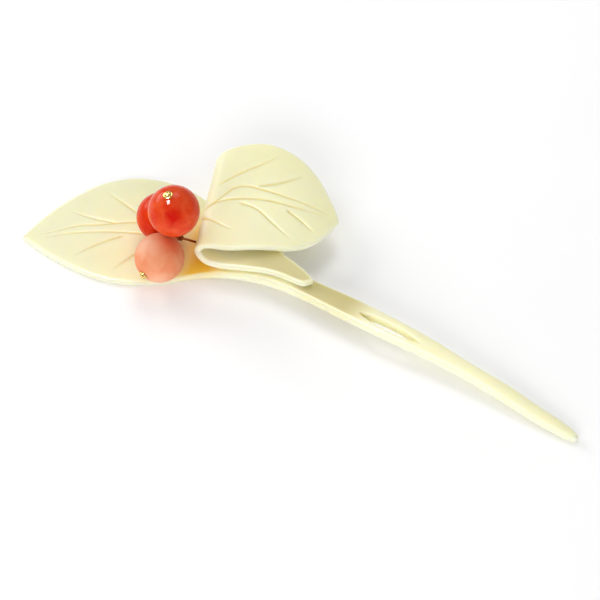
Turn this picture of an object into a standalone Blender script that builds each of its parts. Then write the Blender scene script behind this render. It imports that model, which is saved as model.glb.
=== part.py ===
"""Leaf-shaped hair pin of ivory-coloured resin with three coral beads on gold headpins.

The table of stations below is in millimetres, in the pin's drawing frame: +X along the stem towards its
tip, +Z up, z = 0 on the table that the pin lies on. Every object is then moved by SHIFT, so that the
origin is the bottom centre of the whole pin's box, and scaled to metres.
"""
import math

import bmesh
import bpy
import numpy as np
from mathutils import Vector

MM = 0.001
SHIFT = Vector((-4.20, -6.37, 0.0))          # drawing frame to the object's own frame
GAP = 0.3                                    # clearance between touching pieces

# Body: one row for each station along the centre line.
# x, y, half-width at the back, half-width at the front, underside height, thickness in the middle, at the edge
BODY = (
    (-68.2, -18.2, 0.0, 0.0, 0.0, 1.7, 1.6),
    (-63.5, -14.9, 6.7, 5.7, 0.0, 1.9, 1.6),
    (-58.0, -11.4, 13.3, 10.3, 0.0, 2.2, 1.5),
    (-52.0, -8.0, 18.5, 13.5, 0.0, 2.5, 1.4),
    (-46.0, -5.0, 20.6, 14.7, 0.0, 2.7, 1.3),
    (-40.0, -2.4, 20.0, 14.4, 0.0, 2.8, 1.2),
    (-34.0, -0.6, 17.2, 12.8, 0.0, 2.9, 1.2),
    (-28.0, 0.6, 12.6, 9.9, 0.1, 3.0, 1.3),
    (-21.0, 1.1, 7.8, 6.4, 0.6, 3.0, 1.5),
    (-14.0, 1.1, 4.8, 4.3, 1.5, 2.9, 1.8),
    (-6.0, 0.8, 3.4, 3.0, 2.4, 2.8, 2.1),
    (3.0, 0.4, 2.9, 2.8, 3.0, 2.7, 2.3),
    (13.0, 0.0, 3.1, 3.1, 3.3, 2.6, 2.3),
    (24.0, -0.5, 3.0, 3.0, 3.3, 2.6, 2.3),
    (35.0, -0.9, 2.6, 2.6, 3.0, 2.5, 2.2),
    (45.0, -1.7, 2.1, 2.0, 2.5, 2.4, 2.1),
    (56.0, -2.65, 2.15, 1.95, 1.7, 2.3, 2.0),
    (66.0, -3.8, 1.9, 1.9, 0.8, 2.2, 1.9),
    (72.0, -4.4, 1.7, 1.6, 0.3, 2.1, 1.8),
    (76.6, -4.8, 1.0, 1.0, 0.0, 1.8, 1.6),
)
BODY_EDGE_RADIUS = 0.9
LEAF_TIP_ROUND = 1.2
STEM_TIP_ROUND = 2.2
LEAF_PART = 52.0                             # length along the centre line where the leaf becomes the stem
SLOT_X = (17.1, 32.8)                        # ends of the lens-shaped slot through the stem
SLOT_HALF_WIDTH = 1.0
SLOT_SHIFT = -0.5                            # the slot lies this far from the centre line

# Curled leaf: drawn flat, then folded. One row for each station along the flat sheet:
# distance past the middle of the bend, back edge, front edge
LEAF = (
    (-30.3, -20.4, -22.0),
    (-28.0, -18.3, -22.6),
    (-25.2, -16.0, -21.7),
    (-22.2, -13.5, -20.4),
    (-18.1, -9.2, -19.3),
    (-13.1, -0.8, -18.7),
    (-8.6, 7.4, -18.4),
    (-4.1, 12.4, -17.7),
    (0.0, 14.2, -16.2),
    (3.4, 16.2, -15.5),
    (6.6, 18.1, -15.4),
    (10.1, 19.2, -15.1),
    (14.6, 19.0, -14.3),
    (18.8, 17.3, -13.7),
    (23.1, 14.4, -12.9),
    (26.6, 10.7, -11.2),
    (29.8, 6.0, -8.2),
    (32.3, 1.9, -4.1),
    (33.6, -0.6, -1.6),
)
SHEET = 1.7                                  # thickness of the curled leaf
SHEET_EDGE_RADIUS = 0.8
STALK_END_ROUND = 2.4
POINT_ROUND = 1.2
# Fold seen from the side: distance ahead of the bend line, height above the lower layer
FOLD = (
    (40.0, 0.0), (27.0, 0.0), (14.0, 0.0), (6.4, 0.0), (3.0, 0.1), (0.4, 0.65), (-1.2, 1.8), (-1.7, 3.1),
    (-0.9, 4.5), (1.3, 5.5), (4.4, 6.05), (8.0, 6.25), (13.0, 6.1), (18.0, 5.5), (23.0, 4.5), (27.0, 3.4),
    (30.5, 2.2), (34.0, 0.9),
)
FOLD_MIDDLE = 7                              # the point of FOLD where the flat sheet's distance is 0
FOLD_ANGLE = math.radians(22.0)              # direction of the folded leaf, from +X towards +Y
FOLD_ORIGIN = Vector((-30.3, 10.8, 0.0))
SIDE_DROP = 1.6                              # how much lower the folded leaf's long edges are than its middle
FRONT_OPEN = 0.012                           # the bend opens towards the back by this share of each millimetre

# Beads: centre, radius, direction of the headpin's head
RED = (Vector((-30.8, -6.5, 20.0)), 6.2, Vector((-0.09, -0.21, 0.97)))
PINK = (Vector((-31.5, -12.5, 8.9)), 5.95, Vector((-0.13, -0.97, -0.18)))
DEEP_RED = (Vector((-38.0, -1.7, 9.8)), 6.0, Vector((-0.90, 0.44, -0.02)))
BORE_RADIUS = 0.6
WIRE_RADIUS = 0.3
HEAD_RADIUS = 1.15
HEAD_HEIGHT = 0.7
KNOT = Vector((-30.2, -5.4, 10.2))           # where the three wires are bound together
KNOT_RADIUS = 0.75
STALK_HOLE = -13.0                           # place along the bend where the wire stalk enters the leaf
STALK_HOLE_RADIUS = 0.6

PEG_RADIUS = 0.8
PEG_PLACES = ((-2.2, 1.7), (-9.5, 2.8))      # x, y of the two hidden pegs under the curled leaf's stalk end
PEG_DEPTH = 0.9                              # how far each peg reaches into the body and into the leaf

IVORY = (0.92, 0.86, 0.66, 1.0)
GOLD = (0.83, 0.60, 0.22, 1.0)
DARK_GOLD = (0.38, 0.19, 0.06, 1.0)


def material(name, color, roughness, metallic=0.0):
    mat = bpy.data.materials.new(name)
    mat.use_nodes = True
    shader = mat.node_tree.nodes["Principled BSDF"]
    shader.inputs["Base Color"].default_value = color
    shader.inputs["Roughness"].default_value = roughness
    shader.inputs["Metallic"].default_value = metallic
    return mat


def smooth_curve(places, values, wanted):
    """Values at the wanted places, on the smooth curve through the given points."""
    places = np.asarray(places, float)
    values = np.asarray(values, float)
    wanted = np.asarray(wanted, float)
    step = np.diff(places)[:, None]
    slope = np.diff(values, axis=0) / step
    tangent = np.empty_like(values)
    tangent[1:-1] = (slope[1:] * step[:-1] + slope[:-1] * step[1:]) / (step[1:] + step[:-1])
    tangent[0] = 1.5 * slope[0] - 0.5 * tangent[1]
    tangent[-1] = 1.5 * slope[-1] - 0.5 * tangent[-2]
    i = np.clip(np.searchsorted(places, wanted) - 1, 0, len(places) - 2)
    h = step[i]
    t = ((wanted - places[i])[:, None]) / h
    return ((2 * t**3 - 3 * t**2 + 1) * values[i] + (t**3 - 2 * t**2 + t) * h * tangent[i]
            + (3 * t**2 - 2 * t**3) * values[i + 1] + (t**3 - t**2) * h * tangent[i + 1])


def path_lengths(points):
    """Distance of each point along the chain of points."""
    steps = np.linalg.norm(np.diff(np.asarray(points, float), axis=0), axis=1)
    return np.concatenate([[0.0], np.cumsum(steps)])


def end_round(distance, radius):
    """Narrows a strip to nothing at its end, as a round nose does."""
    return np.sqrt(1.0 - np.clip(1.0 - distance / radius, 0.0, 1.0)**2)


def edge_round(distance, radius, squareness):
    """Share of the full thickness at a distance from the edge of a sheet with a rounded edge."""
    return (1.0 - np.clip(1.0 - distance / radius, 0.0, 1.0)**squareness)**(1.0 / squareness)


def across(count):
    """Places across a strip, from 0 to 1, closer together near both edges."""
    k = np.arange(count + 1) / count
    return 0.4 * k + 0.3 * (1.0 - np.cos(math.pi * k))


def link(name, mesh, mat):
    obj = bpy.data.objects.new(name, mesh)
    bpy.context.scene.collection.objects.link(obj)
    obj.data.materials.append(mat)
    return obj


def to_metres(point):
    return (Vector(point) + SHIFT) * MM


def blade(name, upper, lower, mat):
    """A closed sheet between an upper and a lower grid of points that meet along its rim."""
    bm = bmesh.new()
    rows, columns = upper.shape[:2]
    grids = []
    for grid in (upper, lower):
        grids.append([[None] * columns for _ in range(rows)])
        for i in range(rows):
            for j in range(columns):
                if i in (0, rows - 1) and j > 0:
                    vert = grids[-1][i][0]
                elif grid is lower and (i in (0, rows - 1) or j in (0, columns - 1)):
                    vert = grids[0][i][j]
                else:
                    vert = bm.verts.new(to_metres(grid[i, j]))
                grids[-1][i][j] = vert
    for grid in grids:
        for i in range(rows - 1):
            for j in range(columns - 1):
                corners = [grid[i][j], grid[i][j + 1], grid[i + 1][j + 1], grid[i + 1][j]]
                bm.faces.new(list(dict.fromkeys(corners)))
    bmesh.ops.recalc_face_normals(bm, faces=bm.faces)
    mesh = bpy.data.meshes.new(name)
    bm.to_mesh(mesh)
    bm.free()
    mesh.shade_smooth()
    return link(name, mesh, mat)


def tube(name, points, radii, mat, sides=8):
    """A solid of round rings along a path; it closes to a point at each end."""
    path = [Vector(p) for p in points]
    bm = bmesh.new()
    rings = []
    for i, point in enumerate(path):
        along = (path[min(i + 1, len(path) - 1)] - path[max(i - 1, 0)]).normalized()
        side = along.cross(Vector((0.31, 0.52, 0.79))).normalized()
        other = along.cross(side)
        if radii[i] == 0.0:
            rings.append([bm.verts.new(to_metres(point))] * sides)
            continue
        ring = []
        for k in range(sides):
            turn = 2.0 * math.pi * k / sides
            offset = side * math.cos(turn) + other * math.sin(turn)
            ring.append(bm.verts.new(to_metres(point + offset * radii[i])))
        rings.append(ring)
    for near, far in zip(rings, rings[1:]):
        for k in range(sides):
            corners = [near[k], near[(k + 1) % sides], far[(k + 1) % sides], far[k]]
            bm.faces.new(list(dict.fromkeys(corners)))
    bmesh.ops.recalc_face_normals(bm, faces=bm.faces)
    mesh = bpy.data.meshes.new(name)
    bm.to_mesh(mesh)
    bm.free()
    mesh.shade_smooth()
    mesh.set_sharp_from_angle(angle=math.radians(50.0))
    return link(name, mesh, mat)


def cut(obj, cutter):
    cutter.hide_render = True
    cutter.display_type = "WIRE"
    modifier = obj.modifiers.new("cut " + cutter.name, "BOOLEAN")
    modifier.operation = "DIFFERENCE"
    modifier.object = cutter


def drill(obj, name, start, end, radius):
    """Cuts a round hole from start to end."""
    start = Vector(start)
    end = Vector(end)
    cutter = tube(name, [start, start, end, end], [0.0, radius, radius, 0.0], obj.data.materials[0], sides=12)
    cutter.data.materials.clear()
    cut(obj, cutter)


def body_top(x):
    """Height of the body's upper side on its centre line."""
    rows = np.array(BODY)
    return smooth_curve(rows[:, 0], rows[:, 4:6], np.clip(x, rows[0, 0], rows[-1, 0])).sum(axis=1)


def body_grids(leaf_rows, stem_rows, columns):
    """Upper and lower grids of the body: stations along its centre line, square to it."""
    rows = np.array(BODY)
    chain = path_lengths(rows[:, :2])
    length = chain[-1]
    leaf = LEAF_PART * np.linspace(0.0, 1.0, leaf_rows)**1.25
    stem = LEAF_PART + (length - LEAF_PART) * (1.0 - (1.0 - np.linspace(0.0, 1.0, stem_rows)[1:])**1.35)
    s = np.concatenate([leaf, stem])
    centre = smooth_curve(chain, rows[:, :2], s)
    width = smooth_curve(chain, rows[:, 2:4], s)
    underside, middle, rim = smooth_curve(chain, rows[:, 4:], s).T[:, :, None]
    ahead = smooth_curve(chain, rows[:, :2], s + 0.001) - smooth_curve(chain, rows[:, :2], s - 0.001)
    ahead /= np.linalg.norm(ahead, axis=1)[:, None]
    square = np.stack([-ahead[:, 1], ahead[:, 0]], axis=1)
    width *= (end_round(s, LEAF_TIP_ROUND) * end_round(length - s, STEM_TIP_ROUND))[:, None]
    slant = 1.0 / np.sqrt(1.0 + np.gradient(width, s, axis=0)**2)
    back, front = width[:, :1], width[:, 1:]
    x = back - (back + front) * across(columns)
    from_rim = np.minimum((back - x) * slant[:, :1], (x + front) * slant[:, 1:])
    roundness = edge_round(from_rim, BODY_EDGE_RADIUS, 3.0)
    half = np.maximum(np.where(x > 0.0, back, front), 1e-6)
    dome = np.clip(1.0 - (x / half)**2, 0.0, 1.0)**0.8
    rim_height = np.maximum(underside, 0.0) + rim / 2.0
    top = rim_height + (rim / 2.0 + (middle - rim) * dome) * roundness
    bottom = rim_height - rim / 2.0 * roundness
    plan = centre[:, None, :] + x[:, :, None] * square[:, None, :]
    return np.dstack([plan, top]), np.dstack([plan, bottom])


def fold(p, q):
    """Middle surface of the curled leaf: p along the flat sheet from the bend, q across it."""
    chain = path_lengths(FOLD)
    side = smooth_curve(chain, FOLD, (p + chain[FOLD_MIDDLE]).ravel()).reshape(p.shape + (2,))
    along, height = side[..., 0], side[..., 1]
    ahead = np.array([math.cos(FOLD_ANGLE), math.sin(FOLD_ANGLE)])
    beside = np.array([-math.sin(FOLD_ANGLE), math.cos(FOLD_ANGLE)])
    origin = np.array(FOLD_ORIGIN[:2])
    plan = origin + along[..., None] * ahead + q[..., None] * beside
    lower = np.where(p < 0.0, np.maximum(along, 0.0), 0.0)
    lower_x = (origin + lower[..., None] * ahead + q[..., None] * beside)[..., 0]
    base = body_top(lower_x.ravel()).reshape(p.shape) + GAP + SHEET / 2.0
    raised = np.clip(p / 9.0, 0.0, 1.0)
    raised = raised**2 * (3.0 - 2.0 * raised)
    z = base + height * (1.0 + FRONT_OPEN * q) - SIDE_DROP * raised * ((q - 1.0) / 17.0)**2
    return np.concatenate([plan, z[..., None]], axis=-1)


def fold_normal(p, q):
    step = 0.02
    along = fold(p + step, q) - fold(p - step, q)
    sideways = fold(p, q + step) - fold(p, q - step)
    normal = np.cross(along, sideways)
    return normal / np.linalg.norm(normal, axis=-1)[..., None]


def leaf_grids(stations, columns):
    """Upper and lower grids of the curled leaf, already folded."""
    rows = np.array(LEAF)
    first, last = rows[0, 0], rows[-1, 0]
    u = np.linspace(0.0, 1.0, stations)
    s = first + (last - first) * (0.75 * u + 0.125 * (1.0 - np.cos(math.pi * u)))
    edges = smooth_curve(rows[:, 0], rows[:, 1:], s)
    centre = edges.mean(axis=1)
    half = (edges[:, 0] - edges[:, 1]) / 2.0
    half *= end_round(s - first, STALK_END_ROUND) * end_round(last - s, POINT_ROUND)
    back, front = (centre + half)[:, None], (centre - half)[:, None]
    q = back + (front - back) * across(columns)
    p = np.repeat(s[:, None], columns + 1, axis=1)
    back_slant = 1.0 / np.sqrt(1.0 + np.gradient(back[:, 0], s)**2)[:, None]
    front_slant = 1.0 / np.sqrt(1.0 + np.gradient(front[:, 0], s)**2)[:, None]
    from_rim = np.minimum((back - q) * back_slant, (q - front) * front_slant)
    half_sheet = (SHEET / 2.0 * edge_round(from_rim, SHEET_EDGE_RADIUS, 2.6))[..., None]
    middle = fold(p, q)
    normal = fold_normal(p, q)
    return middle + normal * half_sheet, middle - normal * half_sheet


def make_slot_cutter():
    """A lens-shaped prism, in line with the stem."""
    rows = np.array(BODY)
    steps = 12
    x = np.linspace(SLOT_X[0], SLOT_X[1], steps + 1)
    y = smooth_curve(rows[:, 0], rows[:, 1:2], x)[:, 0]
    middle, half_length = sum(SLOT_X) / 2.0, (SLOT_X[1] - SLOT_X[0]) / 2.0
    half = SLOT_HALF_WIDTH * np.clip(1.0 - ((x - middle) / half_length)**2, 0.0, 1.0)**0.9
    y += SLOT_SHIFT
    outline = [(x[i], y[i] - half[i]) for i in range(steps + 1)]
    outline += [(x[i], y[i] + half[i]) for i in range(steps - 1, 0, -1)]
    bm = bmesh.new()
    base = bm.faces.new([bm.verts.new(to_metres((px, py, 1.0))) for px, py in outline])
    raised = bmesh.ops.extrude_face_region(bm, geom=[base])["geom"]
    lifted = [v for v in raised if isinstance(v, bmesh.types.BMVert)]
    bmesh.ops.translate(bm, verts=lifted, vec=(0.0, 0.0, 8.0 * MM))
    bmesh.ops.recalc_face_normals(bm, faces=bm.faces)
    mesh = bpy.data.meshes.new("slot_cutter")
    bm.to_mesh(mesh)
    bm.free()
    cutter = bpy.data.objects.new("slot_cutter", mesh)
    bpy.context.scene.collection.objects.link(cutter)
    return cutter


def make_body(mat):
    body = blade("pin_body", *body_grids(26, 32, 10), mat)
    cut(body, make_slot_cutter())
    for i, (x, y) in enumerate(PEG_PLACES):
        top = body_top(np.array([x]))[0]
        drill(body, f"peg_hole_{i}", (x, y, top + 1.0), (x, y, top - PEG_DEPTH - GAP), PEG_RADIUS + GAP)
    return body


def make_curled_leaf(mat):
    leaf = blade("curled_leaf", *leaf_grids(42, 12), mat)
    for i, (x, y) in enumerate(PEG_PLACES):
        top = body_top(np.array([x]))[0]
        drill(leaf, f"leaf_peg_hole_{i}", (x, y, top - 0.5), (x, y, top + GAP + PEG_DEPTH), PEG_RADIUS + GAP)
    place, outward = stalk_entry()
    drill(leaf, "stalk_hole", place + outward * SHEET, place - outward * SHEET, STALK_HOLE_RADIUS)
    return leaf


def stalk_entry():
    """Middle of the curled leaf's wall where the stalk goes in, and the direction out of the wall."""
    p, q = np.zeros(1), np.full(1, STALK_HOLE)
    return Vector(fold(p, q)[0]), Vector(fold_normal(p, q)[0])


def make_pegs(mat):
    for name, (x, y) in zip(("leaf_peg_front", "leaf_peg_rear"), PEG_PLACES):
        top = body_top(np.array([x]))[0]
        low = Vector((x, y, top - PEG_DEPTH))
        high = Vector((x, y, top + PEG_DEPTH))
        tube(name, [low, low, high, high], [0.0, PEG_RADIUS, PEG_RADIUS, 0.0], mat, sides=12)


def make_bead(name, bead, mat):
    """A drilled ball whose origin is its centre and whose bore is the headpin's axis."""
    centre, radius, head = bead
    axis = head.normalized()
    mouth = math.asin(BORE_RADIUS / radius)
    rings = 12
    turns = [mouth + (math.pi - 2.0 * mouth) * i / rings for i in range(rings + 1)]
    profile = [(radius * math.sin(t), radius * math.cos(t)) for t in turns]
    bm = bmesh.new()
    verts = [bm.verts.new((r * MM, 0.0, z * MM)) for r, z in profile]
    edges = [bm.edges.new((a, b)) for a, b in zip(verts, verts[1:] + verts[:1])]
    bmesh.ops.spin(bm, geom=verts + edges, axis=(0.0, 0.0, 1.0), cent=(0.0, 0.0, 0.0),
                   angle=2.0 * math.pi, steps=20, use_merge=True)
    bmesh.ops.remove_doubles(bm, verts=bm.verts, dist=1e-6)
    bmesh.ops.recalc_face_normals(bm, faces=bm.faces)
    mesh = bpy.data.meshes.new(name)
    bm.to_mesh(mesh)
    bm.free()
    mesh.shade_smooth()
    mesh.set_sharp_from_angle(angle=math.radians(60.0))
    obj = link(name, mesh, mat)
    obj.location = to_metres(centre)
    obj.rotation_mode = "QUATERNION"
    obj.rotation_quaternion = Vector((0.0, 0.0, 1.0)).rotation_difference(axis)


def make_headpin(name, bead, mat):
    """Domed head, straight shank through the bead and a short tail that turns towards the knot."""
    centre, radius, head = bead
    axis = head.normalized()
    seat = centre + axis * (radius + GAP)
    exit_point = centre - axis * (radius + 0.4)
    towards_knot = (KNOT - exit_point).normalized()
    tail = KNOT - towards_knot * (KNOT_RADIUS + GAP)
    points = [seat + axis * HEAD_HEIGHT]
    radii = [0.0]
    for degrees in (30.0, 60.0, 90.0):
        turn = math.radians(degrees)
        points.append(seat + axis * (HEAD_HEIGHT * math.cos(turn)))
        radii.append(HEAD_RADIUS * math.sin(turn))
    points += [seat - axis * 0.02, centre, exit_point]
    radii += [WIRE_RADIUS] * 3
    bend = exit_point + (towards_knot - axis).normalized() * 0.3
    points += [bend, tail, tail + towards_knot * 0.01]
    radii += [WIRE_RADIUS, WIRE_RADIUS, 0.0]
    tube(name, points, radii, mat)


def make_knot(mat):
    """The bound wires: a small barrel in line with the stalk."""
    place, outward = stalk_entry()
    along = (place + outward * SHEET - KNOT).normalized()
    points = []
    radii = []
    for degrees in (0.0, 35.0, 65.0, 90.0, 115.0, 145.0, 180.0):
        turn = math.radians(degrees)
        points.append(KNOT - along * (KNOT_RADIUS * math.cos(turn)))
        radii.append(KNOT_RADIUS * math.sin(turn) if 0.0 < degrees < 180.0 else 0.0)
    tube("wire_knot", points, radii, mat, sides=10)


def make_stalk(mat):
    """From the knot through the wall of the bend."""
    place, outward = stalk_entry()
    approach = place + outward * SHEET * 1.1
    along = (approach - KNOT).normalized()
    start = KNOT + along * (KNOT_RADIUS + GAP)
    inside = place - outward * (SHEET / 2.0 + 0.4)
    points = [start, start + along * 0.01, approach, place + outward * SHEET * 0.6, inside,
              inside - outward * 0.01]
    tube("wire_stalk", points, [0.0] + [WIRE_RADIUS] * 4 + [0.0], mat)


def main():
    for obj in list(bpy.data.objects):
        bpy.data.objects.remove(obj)
    ivory = [material(name, IVORY, 0.35) for name in ("body_resin", "leaf_resin", "peg_resin")]
    make_body(ivory[0])
    make_curled_leaf(ivory[1])
    make_pegs(ivory[2])
    red = (0.80, 0.09, 0.03, 1.0)
    deep_red = (0.62, 0.03, 0.01, 1.0)
    pink = (0.86, 0.36, 0.22, 1.0)
    for name, bead, color, roughness in (("red", RED, red, 0.12), ("deep_red", DEEP_RED, deep_red, 0.15),
                                         ("pink", PINK, pink, 0.4)):
        make_bead(f"bead_{name}", bead, material(f"coral_{name}", color, roughness))
        make_headpin(f"headpin_{name}", bead, material(f"gold_{name}", GOLD, 0.2, 1.0))
    make_knot(material("knot_wire", DARK_GOLD, 0.35, 1.0))
    make_stalk(material("stalk_wire", DARK_GOLD, 0.35, 1.0))


main()
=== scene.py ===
"""Looks of the leaf-shaped hair pin: carved ivory-coloured resin, three coral beads and gold wire.

Shapes are worked out in millimetres in the pin's drawing frame, with the same tables and formulas as the CAD
model. skin moves them to the object's own frame, in metres.
"""
import math

import bpy
import numpy as np
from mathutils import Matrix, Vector


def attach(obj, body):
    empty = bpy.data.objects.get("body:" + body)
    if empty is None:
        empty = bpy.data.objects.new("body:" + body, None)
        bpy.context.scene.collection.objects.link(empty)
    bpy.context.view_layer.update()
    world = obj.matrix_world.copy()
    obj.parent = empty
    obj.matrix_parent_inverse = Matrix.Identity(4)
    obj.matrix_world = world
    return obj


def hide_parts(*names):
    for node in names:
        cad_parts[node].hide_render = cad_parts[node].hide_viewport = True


MM = 0.001
SHIFT = np.array((-4.20, -6.37, 0.0))        # drawing frame to the object's own frame
ANY_WAY = np.array((0.31, 0.52, 0.79))       # a direction that no wire or bead follows
GAP = 0.3                                    # clearance between the CAD model's touching pieces

# Body: x, y, half-width at the back, half-width at the front, underside height, thickness in the middle,
# thickness at the edge
BODY = np.array((
    (-68.2, -18.2, 0.0, 0.0, 0.0, 1.7, 1.6),
    (-63.5, -14.9, 6.7, 5.7, 0.0, 1.9, 1.6),
    (-58.0, -11.4, 13.3, 10.3, 0.0, 2.2, 1.5),
    (-52.0, -8.0, 18.5, 13.5, 0.0, 2.5, 1.4),
    (-46.0, -5.0, 20.6, 14.7, 0.0, 2.7, 1.3),
    (-40.0, -2.4, 20.0, 14.4, 0.0, 2.8, 1.2),
    (-34.0, -0.6, 17.2, 12.8, 0.0, 2.9, 1.2),
    (-28.0, 0.6, 12.6, 9.9, 0.1, 3.0, 1.3),
    (-21.0, 1.1, 7.8, 6.4, 0.6, 3.0, 1.5),
    (-14.0, 1.1, 4.8, 4.3, 1.5, 2.9, 1.8),
    (-6.0, 0.8, 3.4, 3.0, 2.4, 2.8, 2.1),
    (3.0, 0.4, 2.9, 2.8, 3.0, 2.7, 2.3),
    (13.0, 0.0, 3.1, 3.1, 3.3, 2.6, 2.3),
    (24.0, -0.5, 3.0, 3.0, 3.3, 2.6, 2.3),
    (35.0, -0.9, 2.6, 2.6, 3.0, 2.5, 2.2),
    (45.0, -1.7, 2.1, 2.0, 2.5, 2.4, 2.1),
    (56.0, -2.65, 2.15, 1.95, 1.7, 2.3, 2.0),
    (66.0, -3.8, 1.9, 1.9, 0.8, 2.2, 1.9),
    (72.0, -4.4, 1.7, 1.6, 0.3, 2.1, 1.8),
    (76.6, -4.8, 1.0, 1.0, 0.0, 1.8, 1.6),
))
BODY_EDGE_RADIUS = 0.8
LEAF_TIP_ROUND = 1.2
STEM_TIP_ROUND = 2.2
LEAF_PART = 52.0                             # length along the centre line where the leaf becomes the stem
SLOT_X = (17.1, 32.8)                        # ends of the lens-shaped slot through the stem
SLOT_HALF_WIDTH = 1.0
SLOT_SHIFT = -0.5                            # the slot lies this far from the centre line
SLOT_LIP = 0.6                               # radius of the soft lip round the slot
SLOT_NEAR = 3.0                              # further away than this, the slot doesn't shape the surface
SEAM_TAPER = 1.5                             # half-width below which the seam returns to the centre line
BODY_SQUARENESS, SHEET_SQUARENESS = 2.8, 2.6  # how square the rounded edges are
LEAF_ROWS, NECK_ROWS, SLOT_ROWS, TIP_ROWS = 240, 45, 34, 44
BACK_COLUMNS, FRONT_COLUMNS = 78, 58
COLUMN_EVENNESS, ROW_EVENNESS = 0.6, 0.8     # share of equal steps across a strip and along the sheet

# Curled leaf, drawn flat: distance past the middle of the bend, back edge, front edge
LEAF = np.array((
    (-30.3, -20.4, -22.0),
    (-28.0, -18.3, -22.6),
    (-25.2, -16.0, -21.7),
    (-22.2, -13.5, -20.4),
    (-18.1, -9.2, -19.3),
    (-13.1, -0.8, -18.7),
    (-8.6, 7.4, -18.4),
    (-4.1, 12.4, -17.7),
    (0.0, 14.2, -16.2),
    (3.4, 16.2, -15.5),
    (6.6, 18.1, -15.4),
    (10.1, 19.2, -15.1),
    (14.6, 19.0, -14.3),
    (18.8, 17.3, -13.7),
    (23.1, 14.4, -12.9),
    (26.6, 10.7, -11.2),
    (29.8, 6.0, -8.2),
    (32.3, 1.9, -4.1),
    (33.6, -0.6, -1.6),
))
SHEET = 1.7                                  # thickness of the curled leaf
SHEET_EDGE_RADIUS = 0.75
STALK_END_ROUND = 2.4
POINT_ROUND = 1.2
SHEET_ROWS, SHEET_COLUMNS = 290, 150
# Fold seen from the side: distance ahead of the bend line, height above the lower layer
FOLD = np.array((
    (40.0, 0.0), (27.0, 0.0), (14.0, 0.0), (6.4, 0.0), (3.0, 0.1), (0.4, 0.65), (-1.2, 1.8), (-1.7, 3.1),
    (-0.9, 4.5), (1.3, 5.5), (4.4, 6.05), (8.0, 6.25), (13.0, 6.1), (18.0, 5.5), (23.0, 4.5), (27.0, 3.4),
    (30.5, 2.2), (34.0, 0.9),
))
FOLD_MIDDLE = 7                              # the point of FOLD where the flat sheet's distance is 0
FOLD_ANGLE = math.radians(22.0)              # direction of the folded leaf, from +X towards +Y
AHEAD = np.array((math.cos(FOLD_ANGLE), math.sin(FOLD_ANGLE)))
BESIDE = np.array((-math.sin(FOLD_ANGLE), math.cos(FOLD_ANGLE)))
FOLD_ORIGIN = np.array((-30.3, 10.8))
SIDE_DROP = 1.6                              # how much lower the folded leaf's long edges are than its middle
SIDE_MIDDLE, SIDE_WIDTH = 1.0, 17.0          # middle and half-width of that curve across the leaf
RAISED_LENGTH = 9.0                          # the drop grows to its full size over this length from the bend
FRONT_OPEN = 0.012                           # the bend opens by this share for each millimetre to the back

# Engraved veins: half-width at the start, then points from the start to the fading end.
# On the body they are x and y; on the curled leaf, the flat sheet's own coordinates.
BODY_VEINS = (
    (0.46, ((-36.0, 4.5), (-41.0, 2.2), (-46.8, -0.9), (-53.4, -5.5), (-58.5, -8.9), (-61.0, -11.6),
            (-64.6, -15.5))),
    (0.46, ((-33.0, 0.5), (-38.0, -1.5), (-43.9, -3.6), (-48.4, -5.6), (-55.4, -9.6), (-59.8, -12.7),
            (-63.0, -15.8))),
    (0.36, ((-50.4, -3.3), (-55.0, -4.4), (-58.6, -5.0), (-62.0, -5.2))),
    (0.40, ((-44.5, 1.0), (-49.1, 2.5), (-53.3, 3.5), (-58.4, 4.8))),
    (0.40, ((-46.2, -5.6), (-50.4, -11.4), (-53.6, -17.2))),
    (0.40, ((-39.0, -3.8), (-40.9, -10.1), (-43.0, -16.0))),
)
LEAF_VEINS = (
    (0.48, ((1.0, -4.2), (2.1, -2.6), (4.5, -0.2), (7.1, 2.6), (10.6, 3.5), (12.8, 3.1), (19.4, 2.0),
            (24.4, 1.2), (30.8, -0.2))),
    (0.48, ((-0.6, -3.6), (1.3, -2.8), (4.7, -1.5), (10.1, -0.5), (15.6, -0.2), (23.5, -0.8),
            (30.0, -0.9))),
    (0.42, ((2.9, 3.7), (7.5, 7.5), (12.2, 11.3), (16.1, 15.5))),
    (0.38, ((12.5, 3.7), (18.6, 6.5), (22.6, 9.9))),
    (0.38, ((8.6, -1.9), (13.2, -3.2), (17.6, -6.5), (22.5, -9.9))),
    (0.38, ((20.5, -2.1), (24.2, -4.2), (27.8, -6.7))),
    (0.40, ((-0.7, -5.4), (3.4, -7.8), (8.3, -10.0))),
)
GROOVE_DEPTH = 0.36
VALLEY_DEPTH = 0.10                          # soft hollow on both sides of each groove
VALLEY_WIDTH = 2.6                           # its width, in widths of the groove
VEIN_START, VEIN_END = 0.08, 0.40            # shares of a vein's length over which it fades in and out
VEIN_TAPER = 0.45                            # share of its width that a groove loses towards its end

# Beads: centre, radius, direction of the headpin's head
BEADS = {
    "red": (np.array((-30.8, -6.5, 20.0)), 6.2, np.array((-0.09, -0.21, 0.97))),
    "pink": (np.array((-31.5, -12.5, 8.9)), 5.95, np.array((-0.13, -0.97, -0.18))),
    "deep_red": (np.array((-38.0, -1.7, 9.8)), 6.0, np.array((-0.90, 0.44, -0.02))),
}
BORE_RADIUS = 0.6
BORE_SOFTENING = 0.12                        # rounding at the bore's mouths
WIRE_RADIUS = 0.3
WIRE_END = 0.35                              # how far short of the knot's middle each wire ends
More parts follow.
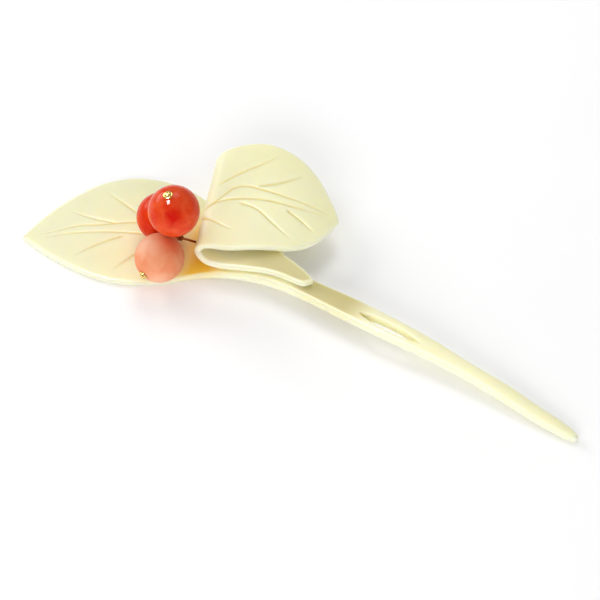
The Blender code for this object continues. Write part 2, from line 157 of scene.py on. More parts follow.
# Headpin's head: radius and height of its dome, height where the dome starts, then the flange's rim
DOME_RADIUS, DOME_HEIGHT, DOME_START = 0.82, 0.55, 0.2
FLANGE = [(1.0, 0.2), (1.1, 0.17), (1.15, 0.1), (1.1, 0.03), (1.0, 0.0), (0.6, 0.0), (WIRE_RADIUS, -0.02)]
HEAD_GAP = 0.12                              # from the bead's surface to the head
TAIL_GAP = 0.4                               # from the bead's surface to the place where the tail bends
KNOT = np.array((-30.2, -5.4, 10.2))         # where the three wires are bound together
KNOT_RADIUS = 0.75
COIL_WIRE, COIL_TURNS, COIL_REACH = 0.17, 3.6, 0.6
CORE_REACH = 0.72
CORE_RADII = [0.0, 0.3, 0.38, 0.4, 0.4, 0.4, 0.38, 0.3, 0.0]
STALK_HOLE = -13.0                           # place along the bend where the wire stalk enters the leaf
TINY = 0.01                                  # length of the cone that closes a wire's end

RIM_REACH = 1.3                              # how far in from its edge the resin is painted paler: a painted sheen along the edges
POCKET_PLACE, POCKET_REACH = -1.0, 5.0       # middle and reach of the painted golden glow, from the bend line: painted shade and bounced coral light
POCKET_ENDS = (5.0, -9.0)                    # places along the bend where the painted glow starts and is full
WALL_PAINTED_GLOW = 0.8                              # its share on the foot of the bend's outer wall
BEAD_PAINTED_GLOW = 0.18                             # strength of the faint painted coral reflection round the beads
WARM_RADIUS = 20.0                           # how far that painted reflection reaches round the beads

NECK_START, NECK_END = (-3.0, 4.0), (12.0, 21.0)  # where the painted shade on the neck comes in and goes out
CURL_PAINTED_SHADE = 0.8                              # share of that painted shade inside the curl, on the lower layer
CURL_START = (6.0, 20.0)                     # where it comes in, measured along the sheet from the bend
CAMERA_AZIMUTH, CAMERA_ELEVATION = math.radians(31.0), math.radians(48.0)
CAMERA_DISTANCE = 600.0
CAMERA_LENS = 150.48
FLOOR_HALF, FLOOR_HEIGHT = 1.5, -0.00005     # metres, like the lights' sizes and distances


def smooth_curve(places, values, wanted):
    """Values at the wanted places, on the smooth curve through the given points."""
    places = np.asarray(places, float)
    values = np.asarray(values, float)
    wanted = np.asarray(wanted, float)
    step = np.diff(places)[:, None]
    slope = np.diff(values, axis=0) / step
    tangent = np.empty_like(values)
    tangent[1:-1] = (slope[1:] * step[:-1] + slope[:-1] * step[1:]) / (step[1:] + step[:-1])
    tangent[0] = 1.5 * slope[0] - 0.5 * tangent[1]
    tangent[-1] = 1.5 * slope[-1] - 0.5 * tangent[-2]
    i = np.clip(np.searchsorted(places, wanted) - 1, 0, len(places) - 2)
    h = step[i]
    t = ((wanted - places[i])[:, None]) / h
    return ((2 * t**3 - 3 * t**2 + 1) * values[i] + (t**3 - 2 * t**2 + t) * h * tangent[i]
            + (3 * t**2 - 2 * t**3) * values[i + 1] + (t**3 - t**2) * h * tangent[i + 1])


def path_lengths(points):
    """Distance of each point along the chain of points."""
    steps = np.linalg.norm(np.diff(np.asarray(points, float), axis=0), axis=1)
    return np.concatenate([[0.0], np.cumsum(steps)])


def smooth_path(points, count):
    """Points on the smooth curve through a few chosen ones."""
    chain = path_lengths(points)
    return smooth_curve(chain, points, np.linspace(0.0, chain[-1], count))


def end_round(distance, radius):
    """Narrows a strip to nothing at its end, as a round nose does."""
    return np.sqrt(1.0 - np.clip(1.0 - distance / radius, 0.0, 1.0)**2)


def edge_round(distance, radius, squareness):
    """Share of the full thickness at a distance from the edge of a sheet with a rounded edge."""
    return (1.0 - np.clip(1.0 - distance / radius, 0.0, 1.0)**squareness)**(1.0 / squareness)


def spread(count, evenness):
    """Places from 0 to 1, closer together near both ends unless the evenness is 1."""
    k = np.linspace(0.0, 1.0, count)
    return evenness * k + (1.0 - evenness) * (1.0 - np.cos(math.pi * k)) / 2.0


def smooth_step(value, start, end):
    """0 at the start, 1 at the end and smooth between them; the end may be below the start."""
    t = np.clip((value - start) / (end - start), 0.0, 1.0)
    return t * t * (3.0 - 2.0 * t)


def distance_to_path(points, path):
    """Distance of each point in the plane from a chain, and the share of the chain's length there."""
    lengths = path_lengths(path)
    nearest = np.full(len(points), np.inf)
    share = np.zeros(len(points))
    for a, b, start, end in zip(path, path[1:], lengths, lengths[1:]):
        along = b - a
        t = np.clip((points - a) @ along / (along @ along), 0.0, 1.0)
        distance = np.linalg.norm(points - a - t[:, None] * along, axis=1)
        closer = distance < nearest
        nearest[closer] = distance[closer]
        share[closer] = (start + t * (end - start))[closer] / lengths[-1]
    return nearest, share


def engrave(places, veins):
    """Depth cut by the veins at each place of a grid, and how deep inside a groove it is, from 0 to 1."""
    flat = places.reshape(-1, 2)
    depth = np.zeros(len(flat))
    valley = np.zeros(len(flat))
    for half_width, points in veins:
        distance, share = distance_to_path(flat, smooth_path(np.array(points), 40))
        fade = np.clip(share / VEIN_START, 0.0, 1.0) * np.clip((1.0 - share) / VEIN_END, 0.0, 1.0)**0.6
        width = half_width * (1.0 - VEIN_TAPER * share)
        groove = np.clip(1.0 - distance / width, 0.0, 1.0)
        depth = np.maximum(depth, groove**1.2 * fade)
        valley = np.maximum(valley, np.exp(-(distance / (VALLEY_WIDTH * width))**2) * fade)
    shape = places.shape[:2]
    return (GROOVE_DEPTH * depth + VALLEY_DEPTH * valley).reshape(shape), depth.reshape(shape)


def past_bend(points):
    """Place of each point seen from above: distance ahead of the bend line, and place along it."""
    offset = points[..., :2] - FOLD_ORIGIN
    return offset @ AHEAD, offset @ BESIDE


def painted_pocket_glow(points):
    """Painted golden glow in the pocket between the beads and the bend: painted shade and bounced coral
    light.
    """
    ahead, beside = past_bend(points)
    return np.exp(-((ahead - POCKET_PLACE) / POCKET_REACH)**2) * smooth_step(beside, *POCKET_ENDS)


def painted_coral_bounce(points):
    """Faint painted coral reflection on the resin all round the beads."""
    beads = np.mean([centre for centre, _, _ in BEADS.values()], axis=0)
    distance = np.linalg.norm(points - beads, axis=-1)
    return BEAD_PAINTED_GLOW * np.exp(-(distance / WARM_RADIUS)**2)


# painted glow on the body: the pocket's painted shade and glow, and the painted coral reflection
def painted_body_glow(points):
    return painted_pocket_glow(points) + painted_coral_bounce(points)


def painted_wall_glow(points):
    """The same painted glow for the curled leaf: only the foot of its bend's outer wall is in the pocket."""
    ahead, _ = past_bend(points)
    foot = smooth_step(ahead, -0.6, -2.4) * smooth_step(points[..., 2], 9.0, 5.5)
    return painted_coral_bounce(points) + WALL_PAINTED_GLOW * painted_pocket_glow(points) * foot


def painted_neck_shade(points):
    """How strong the painted shade is along the neck, where the curled leaf shades the stem."""
    return smooth_step(points[..., 0], *NECK_START) * smooth_step(points[..., 0], *reversed(NECK_END))


def skin(name, grids, attributes=None):
    """A mesh of quads from grids of points; points at the same place become one."""
    points = np.concatenate([grid.reshape(-1, 3) for grid in grids])
    _, first, same = np.unique(np.round(points, 4), axis=0, return_index=True, return_inverse=True)
    same = same.ravel()
    faces = []
    start = 0
    for grid in grids:
        rows, columns = grid.shape[:2]
        index = same[start:start + rows * columns].reshape(rows, columns)
        start += rows * columns
        corners = np.stack([index[:-1, :-1], index[:-1, 1:], index[1:, 1:], index[1:, :-1]], axis=-1)
        for corner in corners.reshape(-1, 4).tolist():
            face = [c for k, c in enumerate(corner) if c != corner[k - 1]]
            if len(face) > 2:
                faces.append(face)
    mesh = bpy.data.meshes.new(name)
    mesh.from_pydata(((points[first] + SHIFT) * MM).tolist(), [], faces)
    for key, values in (attributes or {}).items():
        layer = mesh.attributes.new(key, "FLOAT", "POINT")
        layer.data.foreach_set("value", np.concatenate([v.ravel() for v in values])[first])
    mesh.validate()
    mesh.shade_smooth()
    return mesh


def place(name, mesh, mat, body, slot, *nodes):
    """Puts a finished piece in the scene, on its body, in place of its CAD nodes."""
    obj = bpy.data.objects.new(name, mesh)
    bpy.context.scene.collection.objects.link(obj)
    mesh.materials.append(mat)
    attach(obj, body)
    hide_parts(*nodes)
    return obj


# ---------------------------------------------------------------- shapes


def body_top(x):
    """Height of the body's upper side on its centre line."""
    return smooth_curve(BODY[:, 0], BODY[:, 4:6], np.clip(x, BODY[0, 0], BODY[-1, 0])).sum(axis=1)


def slot_half_width(x):
    middle, half_length = sum(SLOT_X) / 2.0, (SLOT_X[1] - SLOT_X[0]) / 2.0
    return SLOT_HALF_WIDTH * np.clip(1.0 - ((x - middle) / half_length)**2, 0.0, 1.0)**0.9


def body_stations(chain):
    """Lengths along the centre line: close together on the leaf, at the slot's ends and at both tips."""
    fine = np.linspace(0.0, chain[-1], 4000)
    x = smooth_curve(chain, BODY[:, :1], fine)[:, 0]
    slot_start, slot_end = np.interp(SLOT_X, x, fine)
    leaf = LEAF_PART * np.linspace(0.0, 1.0, LEAF_ROWS)**1.1
    neck = LEAF_PART + (slot_start - LEAF_PART) * (1.0 - (1.0 - np.linspace(0.0, 1.0, NECK_ROWS))**1.5)
    slot = slot_start + (slot_end - slot_start) * spread(SLOT_ROWS, 0.0)
    tip = slot_end + (chain[-1] - slot_end) * spread(TIP_ROWS, 0.0)
    return np.concatenate([leaf, neck[1:], slot[1:], tip[1:]])


def make_body(mat):
    """The body as a back and a front strip that part round the slot, with the veins cut into its top."""
    chain = path_lengths(BODY[:, :2])
    length = chain[-1]
    s = body_stations(chain)
    centre = smooth_curve(chain, BODY[:, :2], s)
    width = smooth_curve(chain, BODY[:, 2:4], s)
    underside, middle, thin = smooth_curve(chain, BODY[:, 4:], s).T[:, :, None]
    ahead = smooth_curve(chain, BODY[:, :2], s + 0.001) - smooth_curve(chain, BODY[:, :2], s - 0.001)
    ahead /= np.linalg.norm(ahead, axis=1)[:, None]
    square = np.stack([-ahead[:, 1], ahead[:, 0]], axis=1)
    width = width * (end_round(s, LEAF_TIP_ROUND) * end_round(length - s, STEM_TIP_ROUND))[:, None]
    slant = 1.0 / np.sqrt(1.0 + np.gradient(width, s, axis=0)**2)
    opening = slot_half_width(centre[:, 0])[:, None]
    seam = SLOT_SHIFT * np.clip(width.min(axis=1, keepdims=True) / SEAM_TAPER, 0.0, 1.0)
    rim_height = np.maximum(underside, 0.0) + thin / 2.0
    lens_x = np.linspace(SLOT_X[0], SLOT_X[1], 60)
    lens_y = smooth_curve(BODY[:, 0], BODY[:, 1:2], lens_x)[:, 0] + SLOT_SHIFT
    lens = [np.stack([lens_x, lens_y + side * slot_half_width(lens_x)], axis=1) for side in (1.0, -1.0)]
    uppers, lowers, grooves, plain, rims = [], [], [], [], []
    for side, column, count in ((1.0, 0, BACK_COLUMNS), (-1.0, 1, FRONT_COLUMNS)):
        edge = width[:, column:column + 1]
        inner = side * seam + opening
        x = edge - (edge - inner) * spread(count + 1, COLUMN_EVENNESS)
        if side < 0.0:
            x = x[:, ::-1]
        plan = centre[:, None, :] + side * x[:, :, None] * square[:, None, :]
        flat = plan.reshape(-1, 2)
        from_slot = np.minimum(*[distance_to_path(flat, line)[0] for line in lens]).reshape(x.shape)
        beyond = (plan[..., 0] < SLOT_X[0] - SLOT_NEAR) | (plan[..., 0] > SLOT_X[1] + SLOT_NEAR)
        from_slot[beyond] = SLOT_NEAR
        from_slot[np.isclose(x, inner) & (opening > 0.0)] = 0.0
        from_rim = (edge - x) * slant[:, column:column + 1]
        roundness = np.minimum(edge_round(from_rim, BODY_EDGE_RADIUS, BODY_SQUARENESS),
                               edge_round(from_slot, SLOT_LIP, SHEET_SQUARENESS))
        dome = np.clip(1.0 - (x / np.maximum(edge, 1e-6))**2, 0.0, 1.0)**0.8
        depth, groove = engrave(plan, BODY_VEINS)
        top = rim_height + (thin / 2.0 + (middle - thin) * dome - depth) * roundness
        bottom = rim_height - thin / 2.0 * roundness
        uppers.append(np.dstack([plan, top]))
        lowers.append(np.dstack([plan, bottom])[:, ::-1])
        grooves.append(groove)
        plain.append(np.zeros_like(groove))
        # edges painted paler: a painted sheen
        rims.append(np.clip(1.0 - (edge - x) / RIM_REACH, 0.0, 1.0))
    grids = uppers + lowers
    # the deep layer is painted shade on the neck, where the curled leaf shades the stem
    mesh = skin("carved_body", grids,
                {"groove": grooves + plain, "rim": rims + [rim[:, ::-1] for rim in rims],
                 "painted_glow": [painted_body_glow(grid) for grid in grids],
                 "deep": [painted_neck_shade(grid) for grid in grids]})
    return place("carved_body", mesh, mat, "pin", "body_resin", "pin_body")


def fold(p, q):
    """Middle surface of the curled leaf: p along the flat sheet from the bend, q across it."""
    chain = path_lengths(FOLD)
    side = smooth_curve(chain, FOLD, (p + chain[FOLD_MIDDLE]).ravel()).reshape(p.shape + (2,))
    along, height = side[..., 0], side[..., 1]
    plan = FOLD_ORIGIN + along[..., None] * AHEAD + q[..., None] * BESIDE
    lower = np.where(p < 0.0, np.maximum(along, 0.0), 0.0)
    lower_x = (FOLD_ORIGIN + lower[..., None] * AHEAD + q[..., None] * BESIDE)[..., 0]
    base = body_top(lower_x.ravel()).reshape(p.shape) + GAP + SHEET / 2.0
    side_drop = SIDE_DROP * smooth_step(p, 0.0, RAISED_LENGTH) * ((q - SIDE_MIDDLE) / SIDE_WIDTH)**2
    z = base + height * (1.0 + FRONT_OPEN * q) - side_drop
    return np.concatenate([plan, z[..., None]], axis=-1)


def fold_normal(p, q):
    step = 0.02
    along = fold(p + step, q) - fold(p - step, q)
    sideways = fold(p, q + step) - fold(p, q - step)
    normal = np.cross(along, sideways)
    return normal / np.linalg.norm(normal, axis=-1)[..., None]


def make_curled_leaf(mat):
    first, last = LEAF[0, 0], LEAF[-1, 0]
    s = first + (last - first) * spread(SHEET_ROWS, ROW_EVENNESS)
    edges = smooth_curve(LEAF[:, 0], LEAF[:, 1:], s)
    centre = edges.mean(axis=1)
    half = (edges[:, 0] - edges[:, 1]) / 2.0
    half *= end_round(s - first, STALK_END_ROUND) * end_round(last - s, POINT_ROUND)
    back, front = (centre + half)[:, None], (centre - half)[:, None]
    q = back + (front - back) * spread(SHEET_COLUMNS + 1, COLUMN_EVENNESS)
    p = np.repeat(s[:, None], SHEET_COLUMNS + 1, axis=1)
    back_slant = 1.0 / np.sqrt(1.0 + np.gradient(back[:, 0], s)**2)[:, None]
    front_slant = 1.0 / np.sqrt(1.0 + np.gradient(front[:, 0], s)**2)[:, None]
    from_rim = np.minimum((back - q) * back_slant, (q - front) * front_slant)
    roundness = edge_round(from_rim, SHEET_EDGE_RADIUS, SHEET_SQUARENESS)
    depth, groove = engrave(np.stack([p, q], axis=-1), LEAF_VEINS)
    middle = fold(p, q)
    normal = fold_normal(p, q)
    outer = middle + normal * ((SHEET / 2.0 - depth) * roundness)[..., None]
    inner = middle - normal * (SHEET / 2.0 * roundness)[..., None]
    grids = [outer, inner[:, ::-1]]
    # edges painted paler: a painted sheen
    rim = np.clip(1.0 - from_rim / RIM_REACH, 0.0, 1.0)
    # the deep layer is painted shade inside the curl, on the lower layer under the upper one
    mesh = skin("carved_leaf", grids,
                {"groove": [groove, np.zeros_like(groove)], "rim": [rim, rim[:, ::-1]],
                 "painted_glow": [painted_wall_glow(grid) for grid in grids],
                 "deep": [np.zeros_like(p), CURL_PAINTED_SHADE * smooth_step(-p[:, ::-1], *CURL_START)]})
    return place("carved_leaf", mesh, mat, "pin", "leaf_resin", "curled_leaf")


def stalk_entry():
    """Middle of the curled leaf's wall where the stalk goes in, and the direction out of the wall."""
    p, q = np.zeros(1), np.full(1, STALK_HOLE)
    return fold(p, q)[0], fold_normal(p, q)[0]


def unit(vector):
    return vector / np.linalg.norm(vector)


def full_turn(sides):
    """Angles once round; the last one is the first again, so that the seam closes exactly."""
    turn = np.linspace(0.0, 2.0 * math.pi, sides + 1)
    turn[-1] = 0.0
    return turn


def tube(points, radii, sides, directions=None):
    """Grid of round rings along a path, closed to a point where the radius is 0. Rings don't twist."""
    if directions is None:
        directions = np.gradient(points, axis=0)
    side = unit(np.cross(directions[0], ANY_WAY))
    turn = full_turn(sides)
    rings = []
    for point, direction, radius in zip(points, directions, radii):
        direction = unit(direction)
        side = unit(side - direction * (side @ direction))
        other = np.cross(direction, side)
        rings.append(point + radius * (np.cos(turn)[:, None] * side + np.sin(turn)[:, None] * other))
    return np.array(rings)[:, ::-1]


def turned(profile, centre, axis, steps=96):
    """Grid of a profile of (radius, height) turned round an axis."""
    axis = unit(axis)
    side = unit(np.cross(axis, ANY_WAY))
    other = np.cross(axis, side)
    turn = full_turn(steps)
    round_about = np.cos(turn)[:, None] * side + np.sin(turn)[:, None] * other
    return np.array([centre + radius * round_about + height * axis for radius, height in profile])


def make_bead(name, mat):
    """A drilled, polished ball with a softened mouth at each end of its bore."""
    centre, radius, axis = BEADS[name]
    mouth = math.asin((BORE_RADIUS + BORE_SOFTENING) / radius)
    angles = np.linspace(mouth, math.pi - mouth, 90)
    profile = [(radius * math.sin(t), radius * math.cos(t)) for t in angles]
    end = radius * math.cos(mouth) - 0.1
    profile += [(BORE_RADIUS, -end), (BORE_RADIUS, end)]
    profile.append(profile[0])
    mesh = skin(f"polished_bead_{name}", [turned(profile, centre, axis)])
    return place(f"polished_bead_{name}", mesh, mat, f"{name}_bead", f"coral_{name}", f"bead_{name}")


def make_headpin(name, mat):
    """Domed head with a thin flange, shank through the bead, and a tail that bends into the knot."""
    centre, radius, axis = BEADS[name]
    axis = unit(axis)
    seat = centre + axis * (radius + HEAD_GAP)
    quarter = np.radians(np.linspace(0.0, 90.0, 10))
    head = [(DOME_RADIUS * math.sin(t), DOME_START + DOME_HEIGHT * math.cos(t)) for t in quarter] + FLANGE
    exit_point = centre - axis * (radius + TAIL_GAP)
    towards_knot = unit(KNOT - exit_point)
    bend = exit_point + unit(towards_knot - axis) * 0.3
    end = KNOT - towards_knot * WIRE_END
    tail = smooth_path([exit_point + axis * 0.8, exit_point, bend, (bend + end) / 2.0, end], 22)
    along_head = [seat + axis * height for _, height in head]
    points = np.array([*along_head, centre, *tail, tail[-1] + towards_knot * TINY])
    radii = [r for r, _ in head] + [WIRE_RADIUS] * (len(tail) + 1) + [0.0]
    directions = np.gradient(points, axis=0)
    directions[:len(head) + 1] = -axis
    mesh = skin(f"gold_headpin_{name}", [tube(points, radii, 24, directions)])
    return place(f"gold_headpin_{name}", mesh, mat, "pin", "gold_wire", f"headpin_{name}")


def make_knot(mat):
    """A core with the wire wound round it."""
    entry, outward = stalk_entry()
    along = unit(entry + outward * SHEET - KNOT)
    side = unit(np.cross(along, ANY_WAY))
    other = np.cross(along, side)
    turns = np.linspace(0.0, 2.0 * math.pi * COIL_TURNS, 120)
    reach = np.linspace(-COIL_REACH, COIL_REACH, len(turns))
    coil = (KNOT + reach[:, None] * along
            + (KNOT_RADIUS - COIL_WIRE) * (np.cos(turns)[:, None] * side + np.sin(turns)[:, None] * other))
    core = KNOT + np.linspace(-CORE_REACH, CORE_REACH, len(CORE_RADII))[:, None] * along
    coil_radii = [0.0] + [COIL_WIRE] * (len(coil) - 2) + [0.0]
    mesh = skin("wound_knot", [tube(coil, coil_radii, 10), tube(core, CORE_RADII, 16)])
    return place("wound_knot", mesh, mat, "pin", "bound_wire", "wire_knot")


def make_stalk(mat):
    """Straight from the knot to the hole in the bend's wall, then through it."""
    entry, outward = stalk_entry()
    approach = entry + outward * SHEET * 0.75
    control = entry + outward * SHEET * 0.5
    inside = entry - outward * (SHEET / 2.0 + 0.35)
    towards_leaf = unit(approach - KNOT)
    start = KNOT + towards_leaf * WIRE_END
    straight = np.linspace(start, approach, 12)
    bend = [approach * (1.0 - t)**2 + 2.0 * t * (1.0 - t) * control + inside * t**2
            for t in np.linspace(0.1, 1.0, 10)]
    path = [start - towards_leaf * TINY, *straight, *bend, inside - outward * TINY]
    radii = [0.0] + [WIRE_RADIUS] * (len(path) - 2) + [0.0]
    mesh = skin("drawn_stalk", [tube(path, radii, 16)])
    return place("drawn_stalk", mesh, mat, "pin", "bound_wire", "wire_stalk")


# ---------------------------------------------------------------- materials


class Nodes:
    """A material's node tree, with its shader, and short ways to add nodes."""

    def __init__(self, name):
        self.mat = bpy.data.materials.new(name)
        self.mat.use_nodes = True
        self.tree = self.mat.node_tree
        self.shader = self.tree.nodes["Principled BSDF"]
        self.place = self.add("ShaderNodeTexCoord").outputs["Object"]

    def add(self, kind, **settings):
        node = self.tree.nodes.new(kind)
        for key, value in settings.items():
            setattr(node, key, value)
        return node

    def join(self, output, socket):
        self.tree.links.new(output, socket)

    def noise(self, size_mm, detail=3.0, roughness=0.5, distortion=0.0):
        node = self.add("ShaderNodeTexNoise")
        node.inputs["Scale"].default_value = 1.0 / (size_mm * MM)
        node.inputs["Detail"].default_value = detail
        node.inputs["Roughness"].default_value = roughness
        node.inputs["Distortion"].default_value = distortion
        self.join(self.place, node.inputs["Vector"])
        return node.outputs["Fac"]

    def painted(self, name):
        """A value painted on the mesh's points."""
        return self.add("ShaderNodeAttribute", attribute_name=name).outputs["Fac"]

    def span(self, value, low, high, to_low=0.0, to_high=1.0):
        """Maps a range of a value smoothly to another range."""
        node = self.add("ShaderNodeMapRange", interpolation_type="SMOOTHSTEP")
        self.join(value, node.inputs["Value"])
        for key, number in (("From Min", low), ("From Max", high), ("To Min", to_low), ("To Max", to_high)):
            node.inputs[key].default_value = number
        return node.outputs["Result"]

    def math(self, operation, a, b):
        node = self.add("ShaderNodeMath", operation=operation)
        for socket, value in zip(node.inputs, (a, b)):
            if isinstance(value, float):
                socket.default_value = value
            else:
                self.join(value, socket)
        return node.outputs[0]

    def mix(self, factor, a, b, blend="MIX"):
        node = self.add("ShaderNodeMix", data_type="RGBA", blend_type=blend)
        sockets = (node.inputs["Factor"], node.inputs[6], node.inputs[7])
        for socket, value in zip(sockets, (factor, a, b)):
            if isinstance(value, tuple):
                socket.default_value = (*value, 1.0)
            elif isinstance(value, float):
                socket.default_value = value
            else:
                self.join(value, socket)
        return node.outputs[2]

    def near(self, point_mm, radius_mm, wobble, size_mm):
        """1 around a point of the drawing frame, fading unevenly to 0 at the radius."""
        point = tuple((np.array(point_mm) + SHIFT) * MM)
        distance = self.add("ShaderNodeVectorMath", operation="DISTANCE")
        self.join(self.place, distance.inputs[0])
        distance.inputs[1].default_value = point
        uneven = self.math("MULTIPLY_ADD", self.noise(size_mm, 4.0, 0.6, 0.6), wobble * MM)
        uneven.node.inputs[2].default_value = -0.5 * wobble * MM
        total = self.math("ADD", distance.outputs["Value"], uneven)
        return self.span(total, 0.0, radius_mm * MM, 1.0, 0.0)

    def bump(self, height, depth_mm, strength=1.0):
        node = self.add("ShaderNodeBump")
        node.inputs["Distance"].default_value = depth_mm * MM
        node.inputs["Strength"].default_value = strength
        self.join(height, node.inputs["Height"])
        self.join(node.outputs["Normal"], self.shader.inputs["Normal"])

    def set(self, **values):
        for key, value in values.items():
            self.shader.inputs[key.replace("_", " ")].default_value = value


def ivory_resin(name):
    """Cast resin, hand-polished: cloudy, slightly see-through, with a soft gloss; its colour carries painted
    shade in the grooves, on the neck and inside the curl, a painted golden glow near the beads and a painted
    sheen along the edges.
    """
    n = Nodes(name)
    groove = n.painted("groove")
    color = n.mix(n.span(n.noise(14.0, 2.0), 0.3, 0.7), (0.90, 0.86, 0.56), (0.92, 0.88, 0.60))
    # painted shade: darker on the neck and inside the curl, where the curled leaf shades the resin
    color = n.mix(n.math("MULTIPLY", n.painted("deep"), 0.9), color, (0.57, 0.51, 0.20))
    # painted shade in the grooves: darker and yellower there
    color = n.mix(groove, color, (0.84, 0.68, 0.20))
    # painted golden glow: shade and bounced coral light in the pocket, and a faint painted coral reflection
    # round the beads
    color = n.mix(n.math("MINIMUM", n.painted("painted_glow"), 0.96), color, (0.87, 0.53, 0.03))
    # painted sheen: the edges painted paler
    color = n.mix(n.math("MULTIPLY", n.span(n.painted("rim"), 0.2, 0.8), 0.7), color, (0.94, 0.93, 0.70))
    n.join(color, n.shader.inputs["Base Color"])
    polish = n.span(n.noise(2.5, 3.0), 0.3, 0.7, 0.34, 0.40)
    n.join(n.math("ADD", polish, n.math("MULTIPLY", groove, 0.45)), n.shader.inputs["Roughness"])
    n.bump(n.noise(2.4, 2.0), 0.006, 0.3)
    n.set(Subsurface_Weight=0.8, Subsurface_Scale=0.0035, IOR=1.5, Specular_IOR_Level=0.4)
    n.shader.inputs["Subsurface Radius"].default_value = (1.0, 0.8, 0.35)
    return n.mat


def coral(name, color, cloud_color, patches, roughness, gloss):
    """Polished coral: clouds of a paler shade, and patches of painted light and painted reflection as point,
    radius, strength and colour.
    """
    n = Nodes(name)
    cloud = n.span(n.noise(5.0, 3.0, 0.55, 1.0), 0.35, 0.7)
    shade = n.mix(cloud, color, cloud_color)
    for point, radius, strength, patch_color in patches:
        shade = n.mix(n.math("MULTIPLY", n.near(point, radius, 4.0, 2.2), strength), shade, patch_color)
    n.join(shade, n.shader.inputs["Base Color"])
    polish = n.span(n.noise(1.5, 2.0), 0.3, 0.7, roughness * 0.85, roughness * 1.15)
    n.join(polish, n.shader.inputs["Roughness"])
    n.bump(n.noise(1.2, 2.0), 0.006, 0.4)
    n.set(Subsurface_Weight=0.25, Subsurface_Scale=0.001, IOR=1.52, Specular_IOR_Level=gloss)
    n.shader.inputs["Subsurface Radius"].default_value = (1.0, 0.35, 0.2)
    return n.mat


def metal(name, color, dark, roughness):
    """Drawn wire with a trace of tarnish."""
    n = Nodes(name)
    tarnish = n.span(n.noise(0.8, 3.0, 0.6), 0.4, 0.75)
    n.join(n.mix(n.math("MULTIPLY", tarnish, 0.5), color, dark), n.shader.inputs["Base Color"])
    polish = n.span(n.noise(0.4, 2.0), 0.3, 0.7, roughness * 0.7, roughness * 1.3)
    n.join(polish, n.shader.inputs["Roughness"])
    n.bump(n.noise(0.25, 2.0), 0.008, 0.3)
    n.set(Metallic=1.0)
    return n.mat


# ---------------------------------------------------------------- stage


def look_at(obj, target):
    direction = Vector(target) - obj.location
    obj.rotation_euler = direction.to_track_quat("-Z", "Y").to_euler()


def make_camera():
    target = SHIFT * MM
    towards = np.array((math.sin(CAMERA_AZIMUTH) * math.cos(CAMERA_ELEVATION),
                        -math.cos(CAMERA_AZIMUTH) * math.cos(CAMERA_ELEVATION), math.sin(CAMERA_ELEVATION)))
    data = bpy.data.cameras.new("camera")
    data.lens = CAMERA_LENS
    data.sensor_width = 36.0
    camera = bpy.data.objects.new("camera", data)
    bpy.context.scene.collection.objects.link(camera)
    camera.location = target + towards * CAMERA_DISTANCE * MM
    look_at(camera, target)
    bpy.context.scene.camera = camera


def area_light(name, direction, distance, width, height, watts):
    data = bpy.data.lights.new(name, "AREA")
    data.shape = "ELLIPSE"
    data.size = width
    data.size_y = height
    data.energy = watts
    light = bpy.data.objects.new(name, data)
    bpy.context.scene.collection.objects.link(light)
    light.location = Vector(direction).normalized() * distance
    look_at(light, (0.0, 0.0, 0.0))
    return light


def make_stage():
    mesh = bpy.data.meshes.new("floor")
    corners = ((-1, -1), (1, -1), (1, 1), (-1, 1))
    mesh.from_pydata([(x * FLOOR_HALF, y * FLOOR_HALF, FLOOR_HEIGHT) for x, y in corners], [], [(0, 1, 2, 3)])
    floor = bpy.data.objects.new("floor", mesh)
    bpy.context.scene.collection.objects.link(floor)
    n = Nodes("white_board")
    n.join(n.mix(n.span(n.noise(60.0, 2.0), 0.3, 0.7), (0.94, 0.94, 0.94), (0.955, 0.955, 0.955)),
           n.shader.inputs["Base Color"])
    n.set(Roughness=0.9, Specular_IOR_Level=0.2, Emission_Color=(1.0, 1.0, 1.0, 1.0), Emission_Strength=0.09)
    mesh.materials.append(n.mat)
    world = bpy.data.worlds.new("studio")
    world.use_nodes = True
    world.node_tree.nodes["Background"].inputs["Color"].default_value = (1.0, 1.0, 1.0, 1.0)
    world.node_tree.nodes["Background"].inputs["Strength"].default_value = 0.43
    bpy.context.scene.world = world
    area_light("top_box", (-0.20, 0.46, 0.86), 0.8, 0.4, 0.4, 1.55)
    area_light("left_box", (-0.89, 0.10, 0.42), 0.8, 0.5, 0.4, 2.5)
    front = area_light("front_box", (0.25, -0.88, 0.40), 0.8, 0.6, 0.4, 3.2)
    front.visible_glossy = False
    gloss = area_light("gloss", (-0.31, -0.24, 0.92), 0.6, 0.20, 0.16, 5.0)
    gloss.visible_diffuse = False
    bpy.context.scene.view_settings.view_transform = "Standard"


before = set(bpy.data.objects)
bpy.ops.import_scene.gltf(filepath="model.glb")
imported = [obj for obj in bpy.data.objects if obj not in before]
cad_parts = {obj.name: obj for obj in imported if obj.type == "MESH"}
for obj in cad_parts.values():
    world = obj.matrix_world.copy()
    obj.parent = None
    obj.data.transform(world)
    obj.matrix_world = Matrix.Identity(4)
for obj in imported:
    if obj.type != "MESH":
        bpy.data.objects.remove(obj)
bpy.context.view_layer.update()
make_camera()
make_stage()

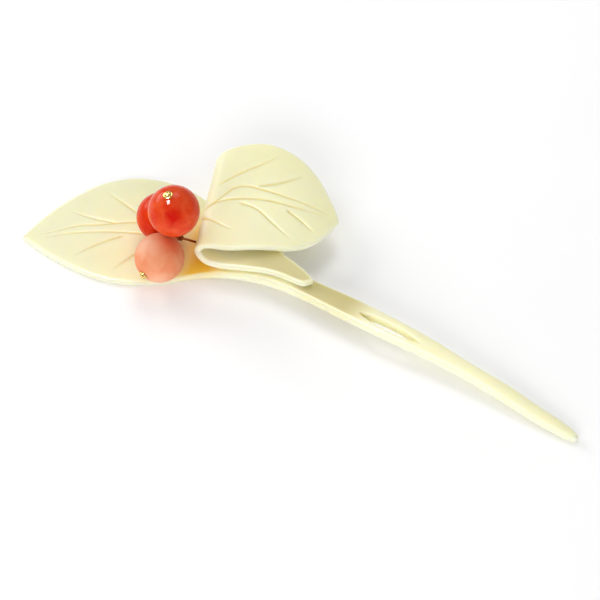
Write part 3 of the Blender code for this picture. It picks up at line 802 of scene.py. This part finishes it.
body_resin = ivory_resin("ivory_resin_body")
leaf_resin = ivory_resin("ivory_resin_leaf")
make_body(body_resin)
make_curled_leaf(leaf_resin)
peg_resin = ivory_resin("ivory_resin_pegs")
for node in ("leaf_peg_front", "leaf_peg_rear"):
    for material_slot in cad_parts[node].material_slots:
        material_slot.material = peg_resin

gold = metal("gold", (0.86, 0.62, 0.20), (0.55, 0.33, 0.08), 0.14)
# the knot and stalk are the same gold, painted dark maroon: painted shade with the corals' painted reflection
gold_in_painted_shade = metal("gold_in_painted_shade", (0.34, 0.09, 0.03), (0.16, 0.025, 0.01), 0.30)
# Painted light on the corals: the deep patches are painted dark reflections on the sides facing the front,
# the salmon patch is the red bead's painted reflection on the pink, and the pale patches are painted light on
# the pink's upper left and on its underside, lit from the leaf below.
PAINTED_DARK_REFLECTION = (0.62, 0.004, 0.0)
PAINTED_RED_REFLECTION = (0.80, 0.15, 0.05)
PAINTED_LIGHT = (0.86, 0.47, 0.30)
red_painted_reflections = (((-28.3, -11.1, 23.4), 4.2, 1.0, PAINTED_DARK_REFLECTION), ((-33.0, -12.0, 21.5), 2.8, 0.5, PAINTED_DARK_REFLECTION))
deep_red_painted_reflections = (((-40.0, -6.0, 8.0), 4.0, 0.8, PAINTED_DARK_REFLECTION),)
pink_painted_light = (((-28.3, -11.5, 13.8), 4.5, 0.8, PAINTED_RED_REFLECTION), ((-34.4, -14.5, 13.6), 5.0, 0.9, PAINTED_LIGHT),
                ((-28.8, -17.3, 7.0), 5.5, 0.9, PAINTED_LIGHT))
corals = {
    "red": coral("coral_red", (0.72, 0.050, 0.006), (0.76, 0.090, 0.022), red_painted_reflections, 0.07, 0.14),
    "deep_red": coral("coral_deep_red", (0.66, 0.026, 0.002), (0.72, 0.055, 0.007), deep_red_painted_reflections,
                      0.14, 0.10),
    "pink": coral("coral_pink", (0.81, 0.26, 0.115), (0.83, 0.33, 0.17), pink_painted_light, 0.6, 0.15),
}
for name, mat in corals.items():
    make_bead(name, mat)
    make_headpin(name, gold)
make_knot(gold_in_painted_shade)
make_stalk(gold_in_painted_shade)
